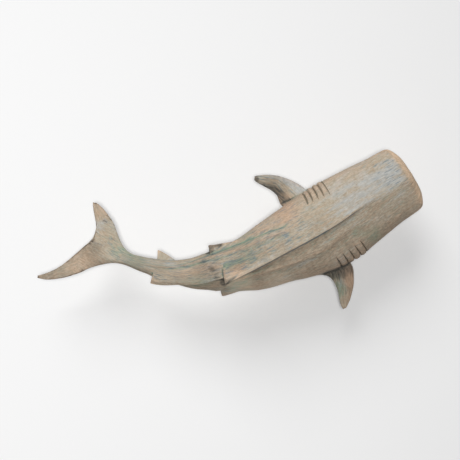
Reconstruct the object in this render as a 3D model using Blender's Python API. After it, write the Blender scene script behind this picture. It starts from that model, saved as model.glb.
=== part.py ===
"""A whale shark carved from one block of wood, made to hang on a wall.

Metres, +Z up. The wall is the plane Y = 0. The shark lies in front of it, at negative Y, with its back
to the room, its snout to the right and its tail turned flat to the wall. The origin is the middle of
the flat on its belly that rests against the wall.

The body is a cage of rings strung on a curved spine. The fins grow out of the cage, the gill slits and
the mouth are opened in it, and a subdivision surface rounds it off.
"""

import math

import bmesh
import bpy
import numpy as np

MM = 0.001

# Stations of the body from snout to stalk and tail fin, in millimetres and degrees: right of the flat,
# above it, spine to wall, half width, back over spine, belly under spine, roll, and fullness of section.
# Roll tips the back towards the floor. A fullness of 2 is an ellipse, and more is squarer.
STATIONS = (
    (173.6, 100.5, 40.0, 54.0, 27.0, 28.0, 0.0, 2.7),
    (141.2, 80.3, 40.0, 55.4, 31.0, 32.0, 0.0, 2.6),
    (98.2, 53.5, 41.0, 61.2, 36.0, 37.0, 1.0, 2.4),
    (54.5, 24.6, 41.0, 66.0, 40.0, 42.0, 4.0, 2.2),
    (28.0, 9.3, 41.0, 64.7, 43.0, 44.0, 4.0, 2.1),
    (-3.3, -5.6, 41.0, 60.0, 44.0, 45.0, 6.0, 2.0),
    (-33.7, -19.2, 41.0, 53.0, 43.0, 43.0, 9.0, 2.0),
    (-59.0, -31.9, 40.0, 48.3, 40.0, 39.0, 10.0, 2.0),
    (-91.8, -43.0, 39.0, 41.0, 36.0, 35.0, 14.5, 2.0),
    (-129.6, -50.6, 38.0, 33.0, 30.5, 29.0, 25.0, 2.0),
    (-168.1, -54.8, 37.0, 25.0, 25.0, 22.5, 43.0, 2.0),
    (-202.5, -52.0, 37.0, 16.5, 18.5, 17.5, 62.0, 2.0),
    (-235.3, -44.1, 37.0, 11.5, 13.3, 13.3, 75.0, 2.0),
    (-268.0, -33.2, 37.0, 7.5, 9.8, 9.8, 85.0, 2.0),
    (-283.6, -24.1, 37.0, 6.2, 17.0, 14.0, 88.0, 2.2),
    (-297.6, -16.4, 37.0, 5.0, 29.6, 26.5, 90.0, 2.4),
    (-308.5, -10.1, 37.0, 4.0, 43.6, 37.0, 90.0, 2.6),
)

# Carved lines on each flank: distance from the snout in millimetres, then degrees from the middle of
# the back to the foot of the ridge, the inner groove, the crest beside it, the outer groove and the
# flank crest.
CARVED_LINES = (
    (0.0, 12.0, 22.0, 32.0, 43.0, 56.0),
    (110.0, 12.0, 20.0, 28.0, 36.0, 50.0),
    (127.0, 12.0, 20.0, 29.0, 37.0, 51.0),
    (147.0, 13.0, 22.0, 32.0, 42.0, 54.0),
    (167.0, 14.0, 24.0, 33.0, 44.0, 55.0),
    (190.0, 13.0, 22.0, 28.0, 37.0, 49.0),
    (215.0, 13.0, 23.0, 29.0, 38.0, 46.0),
    (241.0, 15.0, 30.0, 36.0, 47.0, 54.0),
    (269.0, 19.0, 36.0, 43.0, 57.0, 65.0),
    (303.0, 23.0, 44.0, 52.0, 70.0, 79.0),
    (329.0, 27.0, 54.0, 62.0, 79.0, 91.0),
    (345.0, 33.0, 62.0, 70.0, 84.0, 96.0),
    (365.0, 42.0, 72.0, 79.0, 93.0, 106.0),
    (415.0, 48.0, 80.0, 87.0, 97.0, 112.0),
    (460.0, 47.0, 74.0, 82.0, 92.0, 106.0),
    (501.0, 34.0, 52.0, 66.0, 79.0, 92.0),
    (530.0, 30.0, 45.0, 60.0, 75.0, 90.0),
)

# The one crest of the right flank as it is seen from the front, in millimetres right of the flat and above
# it. It has a hollow above it and a groove below it, and behind the first dorsal fin the right flank's
# lines run like the left's.
RIGHT_CREST = (
    (107.0, 34.0),
    (93.0, 26.0),
    (75.0, 16.0),
    (59.0, 3.0),
    (44.0, -10.0),
    (29.0, -20.0),
    (6.0, -31.0),
    (-17.0, -40.0),
    (-43.0, -48.0),
    (-58.0, -53.0),
    (-78.0, -58.0),
)
RIGHT_CREST_LIMIT = 60
RIGHT_HOLLOW_SHARE = 0.6
RIGHT_GROOVE_GAP = 8.0
RIGHT_CREST_START = 95.0 * MM
RIGHT_CREST_FULL = 145.0 * MM
RIGHT_CREST_FADE = 300.0 * MM
RIGHT_CREST_END = 365.0 * MM
RIGHT_CREST_RISE = 1.3 * MM
RIGHT_HOLLOW_DEPTH = 0.9 * MM
RIGHT_GROOVE_DEPTH = 1.0 * MM
RIGHT_SHARE = 0.4

# Carving on the back and flanks.
SNOUT_ROUNDING = 24.0 * MM
FACE_RINGS = (0.4, 0.7, 0.89, 0.975)
FACE_FLATNESS = 1 / 3
RIDGE_START = 80.0 * MM
RIDGE_FULL = 135.0 * MM
RIDGE_RISE = 4.0 * MM
RIDGE_HALF_TOP = 2.4 * MM
RIDGE_LEFT_DROP = 1.2 * MM
RIDGE_RIGHT_DROP = 3.6 * MM
RIDGE_DROP_BEHIND_FIN = 0.7
GROOVE_START = 192.0 * MM
GROOVE_FULL = 228.0 * MM
GROOVE_DEPTH = 2.0 * MM
FOOT_DEPTH = 0.8 * MM
INNER_CREST_RISE = 1.5 * MM
FLANK_CREST_RISE = 1.8 * MM
UPPER_CREST_RISE = 1.2 * MM
UPPER_CREST_FADE = 262.0 * MM
UPPER_CREST_END = 292.0 * MM
GROOVE_SHALLOWS = 28.0 * MM
STALK_START = 430.0 * MM
STALK_SMOOTH = 500.0 * MM

# Gill slits, on both sides of the head.
GILL_FIRST = 126.8 * MM
GILL_PITCH = 10.15 * MM
GILL_COUNT = 5
GILL_HALF_WIDTH = 1.3 * MM
GILL_DEPTH = 4.0 * MM
GILL_FLAP_RISE = 1.3 * MM
GILL_BOW = 2.6 * MM
GILL_END_BOW = 1.6 * MM

# Mouth, a slit across the front face.
MOUTH_HALF_WIDTH = 1.5 * MM
MOUTH_DEPTH = 5.0 * MM

# Small fins: where each leaves the body, where its rear end stands, its rise, how its edge climbs and how
# far its tip leans to the rear. A climb of 1 is a straight edge, more is hollow and less is full.
FIN_REAR_GAP = 3.2 * MM
REAR_FINS_END = 436.0 * MM
FIRST_DORSAL = (235.0 * MM, 329.0 * MM, 23.0 * MM, 1.6, 3.0 * MM)
SECOND_DORSAL = (398.0 * MM, REAR_FINS_END, 9.5 * MM, 0.8, 3.0 * MM)
ANAL = (405.0 * MM, REAR_FINS_END, 15.5 * MM, 0.85, 6.8 * MM)
LEFT_PELVIC = (300.0 * MM, 345.8 * MM, 11.4 * MM, 1.0, 3.0 * MM)
RIGHT_PELVIC = (312.0 * MM, 337.2 * MM, 13.0 * MM, 1.0, 3.0 * MM)
FIN_LEAN_POWER = 6

# Pectoral fins, root to tip in millimetres: leading edge right and up, trailing edge right and up,
# distance to the wall and thickness.
PECTORAL_REAR = 203.0 * MM
LEFT_PECTORAL = (
    (6.2, 79.5, -30.0, 52.5, 31.0, 14.0),
    (-12.5, 90.4, -35.1, 66.2, 29.0, 11.5),
    (-32.7, 97.7, -46.0, 75.9, 26.5, 9.5),
    (-51.4, 99.7, -59.2, 83.0, 24.0, 7.5),
    (-64.7, 98.2, -67.3, 87.6, 22.5, 6.0),
    (-69.8, 97.1, -70.7, 91.0, 22.0, 4.5),
)
RIGHT_PECTORAL = (
    (84.2, -45.2, 44.4, -59.7, 26.0, 14.0),
    (85.9, -59.2, 53.2, -67.5, 23.0, 11.5),
    (86.0, -73.2, 59.6, -79.5, 19.5, 9.5),
    (83.4, -87.2, 62.9, -91.9, 16.0, 7.5),
    (79.2, -101.5, 65.2, -104.0, 13.5, 6.0),
    (74.8, -109.5, 68.9, -111.6, 12.5, 4.5),
)

# Tail fin lobes, in the same columns.
FORK_REACH = 15.0 * MM
FORK_THINNING = 0.45
FORK_POWER = 1.3
FORK_LINES = 3
LONG_LOBE = (
    (-339.6, -52.9, -336.5, -14.0, 37.0, 8.0),
    (-358.3, -59.4, -360.7, -35.1, 37.0, 7.5),
    (-378.6, -64.0, -380.9, -48.8, 37.0, 6.5),
    (-396.5, -65.1, -397.3, -55.6, 37.0, 5.5),
    (-408.3, -62.6, -407.8, -58.4, 37.0, 4.5),
)
SHORT_LOBE = (
    (-296.8, 32.7, -317.3, 17.1, 37.0, 8.0),
    (-302.6, 40.5, -319.2, 31.9, 37.0, 6.5),
    (-309.6, 48.6, -321.8, 45.2, 37.0, 5.5),
    (-316.4, 54.2, -322.8, 54.2, 37.0, 4.5),
)

# Section shared by the five large blades: how thick its edges are, where it is thickest, and how far in
# from its edges the first lines run.
FIN_EDGE = 0.45
FIN_THICK_SHIFT = 0.1
FIN_THICK_POWER = 0.75
FIN_LEAD_INSET = 0.07
FIN_TRAIL_INSET = 0.06
LOBE_CHORD_POWER = 1.7

# Cage layout. The lines run from snout to tail, counted from the middle of the back down the left side.
# Creases run from 0, quite soft, to 1, quite sharp.
SIDES = 24
HALF = SIDES // 2
CREST, SHOULDER, FOOT, INNER_GROOVE, INNER_CREST, OUTER_GROOVE, FLANK, CHEEK, SIDE = range(9)
BELLY = HALF
FIN_ROOT_TOP = SIDE
FIN_ROOT_BOTTOM = SIDE + 2
CREASES = {CREST: 0.7, INNER_GROOVE: 0.6, INNER_CREST: 0.3, OUTER_GROOVE: 0.6, FLANK: 0.3}
RIDGE_CREASE_BEHIND_FIN = 0.15
FIN_REAR_CREASE = 0.6
FIN_FOOT_CREASE = 0.5
HEADING_STEP = 8.0 * MM
SAME_PLACE = 1e-7
FIT_PASSES = 8

WOOD_COLOUR = (0.33, 0.26, 0.19, 1.0)
WOOD_ROUGHNESS = 0.9


def smooth_table(places, values, at):
    """Values read from a smooth curve through a table's points."""
    places = np.asarray(places, float)
    values = np.asarray(values, float)
    steps = np.diff(places)
    slopes = np.diff(values) / steps
    tangents = np.concatenate([slopes[:1], np.zeros(len(slopes) - 1), slopes[-1:]])
    for k in range(1, len(slopes)):
        if slopes[k - 1] * slopes[k] > 0:
            near, far = steps[k - 1], steps[k]
            tangents[k] = 3 * (near + far) / ((2 * far + near) / slopes[k - 1] + (far + 2 * near) / slopes[k])
    k = int(np.clip(np.searchsorted(places, at) - 1, 0, len(steps) - 1))
    t = float(np.clip((at - places[k]) / steps[k], 0, 1))
    start = (1 + 2 * t) * (1 - t) ** 2 * values[k] + t * (1 - t) ** 2 * steps[k] * tangents[k]
    end = t * t * (3 - 2 * t) * values[k + 1] + t * t * (t - 1) * steps[k] * tangents[k + 1]
    return start + end


def ramp(start, end, at):
    """0 before start, 1 after end, and a soft rise between them."""
    t = min(max((at - start) / (end - start), 0.0), 1.0)
    return t * t * (3 - 2 * t)


def station_places():
    """Distance of each station from the snout, along the spine."""
    spots = np.array(STATIONS)[:, :2] * MM
    return np.concatenate([[0.0], np.cumsum(np.linalg.norm(np.diff(spots, axis=0), axis=1))])


PLACES = station_places()
COLUMNS = np.array(STATIONS).T
LINE_COLUMNS = np.array(CARVED_LINES).T


class Section:
    """The body's cross-section at a distance from the snout, in its own axes."""

    def __init__(self, distance):
        self.distance = distance
        right, up, out, self.half_width, self.back, self.belly = (self.read(c) * MM for c in range(6))
        self.roll = math.radians(self.read(6))
        self.fullness = self.read(7)
        self.right_share = 1 - ramp(RIGHT_CREST_FADE, RIGHT_CREST_END, distance)
        self.centre = np.array([right, -out, up])
        self.forward = self.heading()
        across = np.array([-self.forward[2], 0.0, self.forward[0]])
        to_room = np.array([0.0, -1.0, 0.0])
        self.left = math.cos(self.roll) * across + math.sin(self.roll) * to_room
        self.dorsal = math.cos(self.roll) * to_room - math.sin(self.roll) * across
        self.crest = self.right_crest(-across)

    def read(self, column):
        return smooth_table(PLACES, COLUMNS[column], self.distance)

    def heading(self):
        """Unit vector along the spine towards the snout."""
        ends = [np.clip(self.distance + step, 0, PLACES[-1]) for step in (-HEADING_STEP, HEADING_STEP)]
        right, up = ([smooth_table(PLACES, COLUMNS[c], end) for end in ends] for c in (0, 1))
        along = np.array([right[0] - right[1], 0.0, up[0] - up[1]])
        return along / np.linalg.norm(along)

    def right_crest(self, rightward):
        """Degrees from the middle of the back to where this section meets the right crest, seen from the
        front."""
        offsets = np.array(RIGHT_CREST) * MM - self.centre[[0, 2]]
        order = np.argsort(offsets @ self.forward[[0, 2]])
        ahead, aside = (offsets[order] @ axis[[0, 2]] for axis in (self.forward, rightward))
        degrees = np.arange(RIGHT_CREST_LIMIT)
        corners = [self.plain(angle) for angle in np.radians(degrees)]
        sides = [(self.place(-across, height) - self.centre) @ rightward for across, height in corners]
        return float(np.interp(np.interp(0.0, ahead, aside), np.maximum.accumulate(sides), degrees))

    def line_angle(self, line, side):
        """Angle of a cage line from the middle of the back, down one side."""
        carved = [smooth_table(LINE_COLUMNS[0] * MM, column, self.distance) for column in LINE_COLUMNS[1:]]
        if side < 0:
            groove = self.crest + RIGHT_GROOVE_GAP
            moved = [self.crest * RIGHT_HOLLOW_SHARE, self.crest, groove, (groove + carved[-1]) / 2, carved[-1]]
            carved = [plain + (place - plain) * self.right_share for plain, place in zip(carved, moved)]
        below = (180.0 - carved[-1]) / (BELLY - FLANK)
        angles = [0.0, carved[0] / 2] + carved
        angles += [carved[-1] + below * k for k in range(1, BELLY - FLANK + 1)]
        return math.radians(angles[line])

    def place(self, across, height):
        return self.centre + self.left * across + self.dorsal * height

    def ring(self):
        """The cage's points round this section, from the back down the left side and up the right."""
        return [self.point(line, 1) for line in range(HALF + 1)] + [
            self.point(line, -1) for line in range(HALF - 1, 0, -1)
        ]

    def point(self, line, side):
        if line == SHOULDER:
            return self.shoulder(side)
        angle = self.line_angle(line, side)
        across, height = self.plain(angle)
        depth = self.back if height > 0 else self.belly
        facing = np.array([across / self.half_width**2, height / depth**2])
        facing /= np.linalg.norm(facing)
        across, height = np.array([across, height]) + facing * self.rise(line, side)
        return self.place(side * across, height) - self.forward * self.sweep(line, side)

    def plain(self, angle):
        """A point of the plain section, before any carving."""
        power = 2 / self.fullness
        across = self.half_width * abs(math.sin(angle)) ** power
        height = math.copysign(abs(math.cos(angle)) ** power, math.cos(angle))
        return across, height * (self.back if height > 0 else self.belly)

    def shoulder(self, side):
        """The edge of the ridge's top, which sinks into the plain section on the head."""
        along = ramp(RIDGE_START, RIDGE_FULL, self.distance)
        across, height = self.plain(self.line_angle(SHOULDER, side))
        top = self.back + self.rise(CREST, side)
        drop = RIDGE_LEFT_DROP if side > 0 else RIDGE_RIGHT_DROP
        across += (RIDGE_HALF_TOP - across) * along
        height += (top - drop - height) * along
        return self.place(side * across, height) - self.forward * self.sweep(CREST, side)

    def rise(self, line, side):
        """How far a cage line stands out of the plain section here. Side is 1 on the left, -1 on the right."""
        stalk = ramp(STALK_START, STALK_SMOOTH, self.distance)
        grooves = ramp(GROOVE_START, GROOVE_FULL, self.distance) * (1 - stalk)
        if line == CREST:
            ridge = RIDGE_RISE * ramp(RIDGE_START, RIDGE_FULL, self.distance)
            behind = ramp(FIRST_DORSAL[1], FIRST_DORSAL[1] + FIN_REAR_GAP, self.distance)
            ridge *= 1 - RIDGE_DROP_BEHIND_FIN * behind
            ridge *= 1 - ramp(REAR_FINS_END, REAR_FINS_END + FIN_REAR_GAP, self.distance)
            return ridge + self.fin(FIRST_DORSAL) + self.fin(SECOND_DORSAL)
        if side < 0:
            grooves *= RIGHT_SHARE
        if line == FLANK:
            pelvic = LEFT_PELVIC if side > 0 else RIGHT_PELVIC
            return FLANK_CREST_RISE * grooves * (1 - ramp(*pelvic[:2], self.distance)) + self.fin(pelvic)
        if line == BELLY:
            return self.fin(ANAL)
        if line == CHEEK:
            return UPPER_CREST_RISE * grooves * (1 - ramp(UPPER_CREST_FADE, UPPER_CREST_END, self.distance))
        carved = {
            FOOT: -FOOT_DEPTH,
            INNER_GROOVE: -GROOVE_DEPTH,
            INNER_CREST: INNER_CREST_RISE,
            OUTER_GROOVE: -GROOVE_DEPTH,
        }
        rise = carved.get(line, 0.0) * grooves
        if side < 0:
            right = {FOOT: -RIGHT_HOLLOW_DEPTH, INNER_GROOVE: RIGHT_CREST_RISE, INNER_CREST: -RIGHT_GROOVE_DEPTH}
            full = right.get(line, rise) * ramp(RIGHT_CREST_START, RIGHT_CREST_FULL, self.distance)
            rise += (full - rise) * self.right_share
        return rise * min(1.0, self.half_width / GROOVE_SHALLOWS)

    def fin(self, shape):
        start, end, height, climb, _ = shape
        if not start < self.distance <= end + SAME_PLACE:
            return 0.0
        return height * ((self.distance - start) / (end - start)) ** climb

    def sweep(self, line, side):
        """How far a fin leans towards the tail here."""
        pelvic = LEFT_PELVIC if side > 0 else RIGHT_PELVIC
        fins = {CREST: (FIRST_DORSAL, SECOND_DORSAL), FLANK: (pelvic,), BELLY: (ANAL,)}
        return sum(lean * (self.fin((*sizes, lean)) / sizes[2]) ** FIN_LEAN_POWER
                   for *sizes, lean in fins.get(line, ()))


def spaced(start, end, count):
    """Count places after start, evenly spaced up to end."""
    return [start + (end - start) * k / count for k in range(1, count + 1)]


def gill_place(k):
    """Distance of a slit, at even k, or of the flap behind it, at odd k."""
    return GILL_FIRST + k * GILL_PITCH / 2


def ring_places():
    """Distances of the cage's rings behind the front face, closer together at gills and fin tips."""
    places = [SNOUT_ROUNDING]
    places += spaced(SNOUT_ROUNDING, gill_place(-1), 4)
    places += [gill_place(k) for k in range(2 * GILL_COUNT)]
    places += spaced(places[-1], PECTORAL_REAR, 2)
    for end, count in ((FIRST_DORSAL[1], 7), (RIGHT_PELVIC[1], 1), (LEFT_PELVIC[1], 1), (REAR_FINS_END, 5)):
        places += spaced(places[-1], end, count)
        places.append(end + FIN_REAR_GAP)
    places += spaced(places[-1], PLACES[-4], 2)
    places += list(PLACES[-3:])
    return places


def front_face():
    """Rings that close the snout: the section shrinks while it bulges forward."""
    section = Section(SNOUT_ROUNDING)
    full = np.array(section.ring())
    rings = []
    for share in FACE_RINGS:
        bulge = SNOUT_ROUNDING * (1 - share**2) ** FACE_FLATNESS
        rings.append(section.centre + (full - section.centre) * share + section.forward * bulge)
    return rings


def body_rings(places):
    """Every ring of the cage, with the gills shaped and the tail fin's fork drawn back."""
    rings = [np.array(Section(place).ring()) for place in places]
    for k in range(2 * GILL_COUNT):
        ring = places.index(gill_place(k))
        shape_gill_ring(rings[ring], Section(places[ring]), is_flap=k % 2 == 1)
    last = Section(places[-1])
    middle = HALF // 2
    for j in range(SIDES):
        weight = max(0.0, 1 - abs((j % HALF) - middle) / FORK_LINES)
        rings[-1][j] -= last.forward * FORK_REACH * weight**FORK_POWER
        thickness = (rings[-1][j] - last.centre) @ last.left
        rings[-1][j] -= last.left * thickness * FORK_THINNING * weight
    return rings


def shape_gill_ring(ring, section, is_flap):
    """Bow a ring towards the snout on both cheeks, and raise it where it is the crown of a gill flap."""
    for line, bow in ((FLANK, GILL_END_BOW), (CHEEK, GILL_BOW), (SIDE, GILL_END_BOW)):
        for j in (line, SIDES - line):
            outward = ring[j] - section.centre
            ring[j] += section.forward * bow
            if is_flap:
                ring[j] += outward / np.linalg.norm(outward) * GILL_FLAP_RISE


def fin_section(row, fractions, sides, facing):
    """Points of one fin section: fractions run from the leading edge, sides say which face each is on."""
    lead = np.array([row[0], -row[4], row[1]]) * MM
    trail = np.array([row[2], -row[4], row[3]]) * MM
    thickness = row[5] * MM
    points = []
    for fraction, side in zip(fractions, sides):
        belly = math.sin(math.pi * min(1.0, fraction + FIN_THICK_SHIFT) ** FIN_THICK_POWER)
        half = thickness / 2 * (FIN_EDGE + (1 - FIN_EDGE) * belly)
        points.append(lead + (trail - lead) * fraction + facing * half * side)
    return points


def bridge(bm, loop, next_loop):
    for k in range(len(loop)):
        after = (k + 1) % len(loop)
        bm.faces.new((loop[k], loop[after], next_loop[after], next_loop[k]))


def close_between(bm, upper, lower):
    """Cap a fin's tip with faces between its two sides."""
    for k in range(len(upper) - 1):
        corners = [upper[k], upper[k + 1], lower[k + 1], lower[k]]
        bm.faces.new(list(dict.fromkeys(corners)))


def grow_pectoral(bm, rows, first, last, side, table):
    """A pectoral fin out of the hole left in the flank between two rings."""
    top, middle, bottom = (j if side > 0 else SIDES - j for j in range(FIN_ROOT_TOP, FIN_ROOT_BOTTOM + 1))
    span = range(first, last + 1)
    loop = [rows[first][middle]] + [rows[i][top] for i in span]
    loop += [rows[last][middle]] + [rows[i][bottom] for i in reversed(span)]
    chord = np.linspace(FIN_LEAD_INSET, 1 - FIN_TRAIL_INSET, len(span)).tolist()
    fractions = [0.0] + chord + [1.0] + chord[::-1]
    sides = [0.0] + [1.0] * len(span) + [0.0] + [-1.0] * len(span)
    facing = np.array([0.0, -1.0, 0.0])
    for row in table:
        points = fin_section(row, fractions, sides, facing)
        next_loop = [bm.verts.new(p) for p in points]
        bridge(bm, loop, next_loop)
        loop = next_loop
    upper = loop[: len(span) + 2]
    lower = [loop[0]] + loop[: len(span) : -1]
    close_between(bm, upper, lower)


def grow_lobe(bm, ring, lines, table):
    """A lobe of the tail fin out of one half of the last ring. Its first and last points share the fork."""
    loop = [ring[j] for j in lines]
    half = len(lines) // 2
    chord = [(k / half) ** LOBE_CHORD_POWER for k in range(half + 1)]
    fractions = chord[::-1] + chord[1:]
    sides = [-1.0] * half + [0.0] + [1.0] * half
    facing = np.array([0.0, -1.0, 0.0]) * (1 if ring[lines[-1]].co.y < ring[lines[0]].co.y else -1)
    for row in table:
        next_loop = [bm.verts.new(p) for p in fin_section(row, fractions, sides, facing)]
        bridge(bm, loop, next_loop)
        loop = next_loop
    close_between(bm, loop[: half + 1], loop[: half - 1 : -1])


def open_slit(bm, chain, half_width, depth):
    """Part the surface along a chain of points and close it over a V-shaped bottom."""
    bm.normal_update()
    spots = [v.co.copy() for v in chain]
    normals = [v.normal.copy() for v in chain]
    edges = [bm.edges.get((chain[k], chain[k + 1])) for k in range(len(chain) - 1)]
    bmesh.ops.split_edges(bm, edges=edges)
    lips = ([], [])
    floor = []
    for k, (spot, normal) in enumerate(zip(spots, normals)):
        copies = [v for v in bm.verts if (v.co - spot).length < SAME_PLACE]
        if k in (0, len(spots) - 1):
            lips[0].append(copies[0])
            lips[1].append(copies[0])
            floor.append(copies[0])
            continue
        sideways = normal.cross(spots[k + 1] - spots[k - 1]).normalized()
        for copy in copies:
            middle = sum((f.calc_center_median() for f in copy.link_faces), spot * 0) / len(copy.link_faces)
            which = 1 if (middle - spot).dot(sideways) > 0 else 0
            copy.co = spot + sideways * half_width * (2 * which - 1)
            lips[which].append(copy)
        floor.append(bm.verts.new(spot - normal * depth))
    for lip in lips:
        for k in range(len(floor) - 1):
            corners = [lip[k], lip[k + 1], floor[k + 1], floor[k]]
            bm.faces.new(list(dict.fromkeys(corners)))


def build_cage():
    bm = bmesh.new()
    places = ring_places()
    face_rings = front_face()
    rings = face_rings + body_rings(places)
    rows = [[bm.verts.new(p) for p in ring] for ring in rings]
    offset = len(face_rings)
    first = offset + places.index(gill_place(GILL_COUNT))
    last = offset + places.index(PECTORAL_REAR)
    hole = set(range(FIN_ROOT_TOP, FIN_ROOT_BOTTOM))
    hole |= {SIDES - 1 - j for j in hole}
    for i in range(len(rows) - 1):
        for j in range(SIDES):
            if first <= i < last and j in hole:
                continue
            after = (j + 1) % SIDES
            bm.faces.new((rows[i][j], rows[i][after], rows[i + 1][after], rows[i + 1][j]))
    close_between(bm, rows[0][: HALF + 1], [rows[0][0]] + rows[0][: HALF - 1 : -1])
    grow_pectoral(bm, rows, first, last, 1, LEFT_PECTORAL)
    grow_pectoral(bm, rows, first, last, -1, RIGHT_PECTORAL)
    middle = HALF // 2
    back_half = [j % SIDES for j in range(-middle, middle + 1)]
    belly_half = list(range(middle, SIDES - middle + 1))
    grow_lobe(bm, rows[-1], back_half, LONG_LOBE)
    grow_lobe(bm, rows[-1], belly_half, SHORT_LOBE)
    bmesh.ops.recalc_face_normals(bm, faces=bm.faces)
    crease_ridges(bm, rows, offset, places)
    carve_gills(bm, rows, offset, places)
    mouth = [rows[i][CHEEK] for i in range(offset + 1, -1, -1)]
    mouth += [rows[i][SIDES - CHEEK] for i in range(offset + 2)]
    open_slit(bm, mouth, MOUTH_HALF_WIDTH, MOUTH_DEPTH)
    bmesh.ops.recalc_face_normals(bm, faces=bm.faces)
    return bm


def crease_ridges(bm, rows, offset, places):
    """Keep the ridge, the grooves and the first dorsal fin's rear edge crisp where they are carved."""
    crease = bm.edges.layers.float.new("crease_edge")
    for line, amount in CREASES.items():
        start = RIDGE_START if line == CREST else GROOVE_START
        for i, place in enumerate(places[:-1]):
            if not start < place < STALK_SMOOTH:
                continue
            behind = line == CREST and place > FIRST_DORSAL[1]
            right = amount * RIGHT_SHARE if line != CREST else amount
            for j, strength in ((SIDES - line) % SIDES, right), (line, amount):
                edge = bm.edges.get((rows[offset + i][j], rows[offset + i + 1][j]))
                edge[crease] = RIDGE_CREASE_BEHIND_FIN if behind else strength
    tip = offset + places.index(FIRST_DORSAL[1])
    for i in (tip, tip + 1):
        for j in range(-FOOT, FOOT):
            bm.edges.get((rows[i][j], rows[i][j + 1]))[crease] = FIN_REAR_CREASE
    for j in (-FOOT, FOOT):
        for i in (tip - 2, tip - 1, tip):
            bm.edges.get((rows[i][j], rows[i + 1][j]))[crease] = FIN_FOOT_CREASE


def carve_gills(bm, rows, offset, places):
    for k in range(GILL_COUNT):
        ring = offset + places.index(gill_place(2 * k))
        lowest = SIDE + 1 if k < GILL_COUNT - 2 else SIDE
        for side in (1, -1):
            lines = [(side * line) % SIDES for line in range(OUTER_GROOVE, lowest + 1)]
            open_slit(bm, [rows[ring][j] for j in lines], GILL_HALF_WIDTH, GILL_DEPTH)


def fit_cage(shark):
    """Move the cage until the subdivision surface passes through each designed point."""
    count = len(shark.data.vertices)
    cage = np.empty(count * 3)
    shark.data.vertices.foreach_get("co", cage)
    designed = cage.copy()
    for _ in range(FIT_PASSES):
        graph = bpy.context.evaluated_depsgraph_get()
        surface = shark.evaluated_get(graph).data
        reached = np.empty(len(surface.vertices) * 3)
        surface.vertices.foreach_get("co", reached)
        cage += designed - reached[: count * 3]
        shark.data.vertices.foreach_set("co", cage)
        shark.data.update()


def wood():
    material = bpy.data.materials.new("carved_wood")
    material.use_nodes = True
    shader = material.node_tree.nodes["Principled BSDF"]
    shader.inputs["Base Color"].default_value = WOOD_COLOUR
    shader.inputs["Roughness"].default_value = WOOD_ROUGHNESS
    shader.inputs["Metallic"].default_value = 0.0
    return material


def wall_cutter():
    """A block behind the wall plane, as long as the body, which leaves the flat on the belly."""
    size = PLACES[-1]
    bpy.ops.mesh.primitive_cube_add(size=size, location=(0.0, size / 2, 0.0))
    cutter = bpy.context.object
    cutter.name = "wall_cutter"
    cutter.hide_render = True
    cutter.display_type = "WIRE"
    return cutter


def build():
    for item in list(bpy.data.objects):
        bpy.data.objects.remove(item, do_unlink=True)
    mesh = bpy.data.meshes.new("shark")
    cage = build_cage()
    cage.to_mesh(mesh)
    cage.free()
    mesh.shade_smooth()
    shark = bpy.data.objects.new("shark", mesh)
    bpy.context.scene.collection.objects.link(shark)
    mesh.materials.append(wood())
    surface = shark.modifiers.new("surface", "SUBSURF")
    surface.levels = 1
    surface.render_levels = 1
    surface.use_limit_surface = False
    fit_cage(shark)
    flat = shark.modifiers.new("flat_for_wall", "BOOLEAN")
    flat.operation = "DIFFERENCE"
    flat.object = wall_cutter()


if __name__ == "__main__":
    build()
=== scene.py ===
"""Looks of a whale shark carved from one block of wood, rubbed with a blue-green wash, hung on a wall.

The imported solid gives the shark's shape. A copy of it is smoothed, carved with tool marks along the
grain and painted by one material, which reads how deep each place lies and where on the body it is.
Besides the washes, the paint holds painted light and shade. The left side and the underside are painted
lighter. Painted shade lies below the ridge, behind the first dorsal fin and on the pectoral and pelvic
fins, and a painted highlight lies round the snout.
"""

import math

import bpy
import numpy as np
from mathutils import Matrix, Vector


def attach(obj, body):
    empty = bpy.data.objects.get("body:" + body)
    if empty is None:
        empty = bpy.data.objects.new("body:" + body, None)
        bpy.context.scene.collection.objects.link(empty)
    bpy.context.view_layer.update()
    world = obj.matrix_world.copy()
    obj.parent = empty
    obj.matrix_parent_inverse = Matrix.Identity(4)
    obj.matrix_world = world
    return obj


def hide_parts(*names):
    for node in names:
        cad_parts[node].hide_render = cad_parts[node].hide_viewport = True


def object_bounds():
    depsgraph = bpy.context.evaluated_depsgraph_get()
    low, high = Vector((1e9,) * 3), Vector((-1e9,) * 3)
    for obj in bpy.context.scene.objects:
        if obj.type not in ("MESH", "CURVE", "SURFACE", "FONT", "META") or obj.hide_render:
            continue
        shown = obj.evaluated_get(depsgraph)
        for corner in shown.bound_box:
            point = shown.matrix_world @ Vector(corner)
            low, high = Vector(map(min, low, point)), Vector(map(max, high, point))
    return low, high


bl_info = {
    "name": "Carved whale shark",
    "version": (1, 0, 0),
    "blender": (4, 5, 0),
    "location": "View3D > Sidebar > Carved shark",
    "description": "Carves and paints a wooden whale shark for a wall, and lights it",
    "category": "Object",
}

MM = 0.001
NODE = "shark"

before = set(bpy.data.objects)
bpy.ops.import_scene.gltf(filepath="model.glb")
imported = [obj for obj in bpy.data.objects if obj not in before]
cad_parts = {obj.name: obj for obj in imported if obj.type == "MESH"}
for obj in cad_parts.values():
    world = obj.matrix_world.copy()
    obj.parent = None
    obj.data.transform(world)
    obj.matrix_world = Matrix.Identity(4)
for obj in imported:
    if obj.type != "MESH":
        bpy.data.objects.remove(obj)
CAD_BOUNDS = [list(corner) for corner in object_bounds()]

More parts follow.
